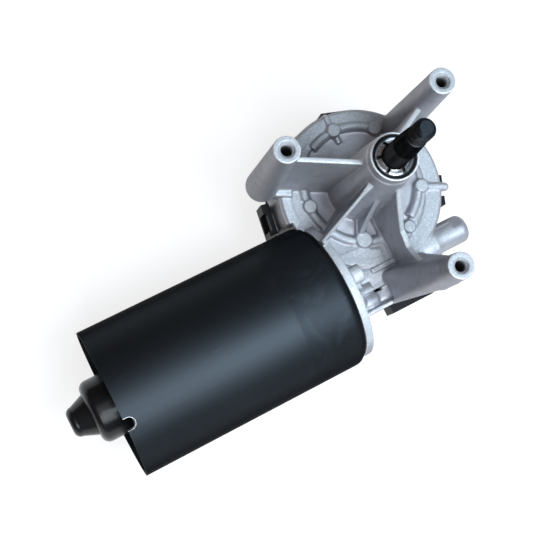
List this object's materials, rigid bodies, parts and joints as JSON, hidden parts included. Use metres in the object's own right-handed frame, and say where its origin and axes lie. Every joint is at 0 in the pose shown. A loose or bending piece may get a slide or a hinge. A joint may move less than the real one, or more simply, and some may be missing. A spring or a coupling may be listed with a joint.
{
  "type": "wiper motor",
  "caption": "Brushed wiper motor with a black steel can, a ribbed die-cast gear housing with tapped mounting posts, and a long threaded output shaft.",
  "frame": {"origin": "on the output shaft axis, level with the faces of the mounting posts", "axes": "+Z along the output shaft to its threaded tip, +X along the motor axis from the can to the worm end, +Y across, away from the worm"},
  "size_m": [0.2393, 0.1307, 0.165],
  "materials": {
    "die_cast": "as-cast with blasted flats",
    "black_paint": "satin black",
    "gloss_black": "gloss black",
    "bright_steel": "bright turned",
    "dark_steel": "phosphated black",
    "zinc_steel": "zinc plated",
    "bronze": "sintered bronze",
    "ferrite": "ground ferrite",
    "lamination": "stacked steel sheet",
    "copper": "enamelled copper wire",
    "commutator_bar": "turned copper",
    "phenolic": "pressed laminate",
    "contact_brass": "stamped and bright",
    "carbon": "pressed carbon",
    "black_plastic": "moulded, fine grain",
    "white_plastic": "moulded, greased",
    "black_rubber": "moulded"
  },
  "bodies": {
    "housing": {"gear_housing": "die_cast", "upper_bush": "bronze", "lower_bush": "bronze", "shaft_seal": "black_rubber", "motor_can": "black_paint", "rear_cover": "gloss_black", "rear_bearing": "bright_steel", "front_bearing": "bright_steel", "bearing_retainer": "zinc_steel", "magnets": "ferrite", "magnet_clips": "zinc_steel", "brush_plate": "phenolic", "brush_holders": "contact_brass", "brushes": "carbon", "brush_springs": "zinc_steel", "through_bolts": "zinc_steel", "gear_cover": "black_plastic", "cover_gasket": "black_rubber", "cover_screws": "zinc_steel", "park_contacts": "contact_brass", "socket_pins": "contact_brass", "thrust_pad": "white_plastic", "worm_end_bush": "bronze"},
    "armature": {"armature_shaft": "bright_steel", "worm": "bright_steel", "armature_core": "lamination", "armature_windings": "copper", "commutator": "commutator_bar", "thrust_ball": "bright_steel"},
    "output": {"output_shaft": "dark_steel", "worm_wheel": "white_plastic", "wheel_carrier": "zinc_steel", "park_disc": "commutator_bar", "thrust_washer": "zinc_steel", "star_washer": "bright_steel"}
  },
  "joints": [
    {"name": "armature_spin", "type": "hinge", "parent": "housing", "child": "armature", "pos_m": [0, -0.04228, -0.0866], "axis": [1, 0, 0], "continuous": true},
    {"name": "output_spin", "type": "hinge", "parent": "housing", "child": "output", "pos_m": [0, 0, 0], "axis": [0, 0, 1], "continuous": true}
  ],
  "couplings": [
    {"joint": "output_spin", "follows": "armature_spin", "ratio": -0.018182}
  ]
}
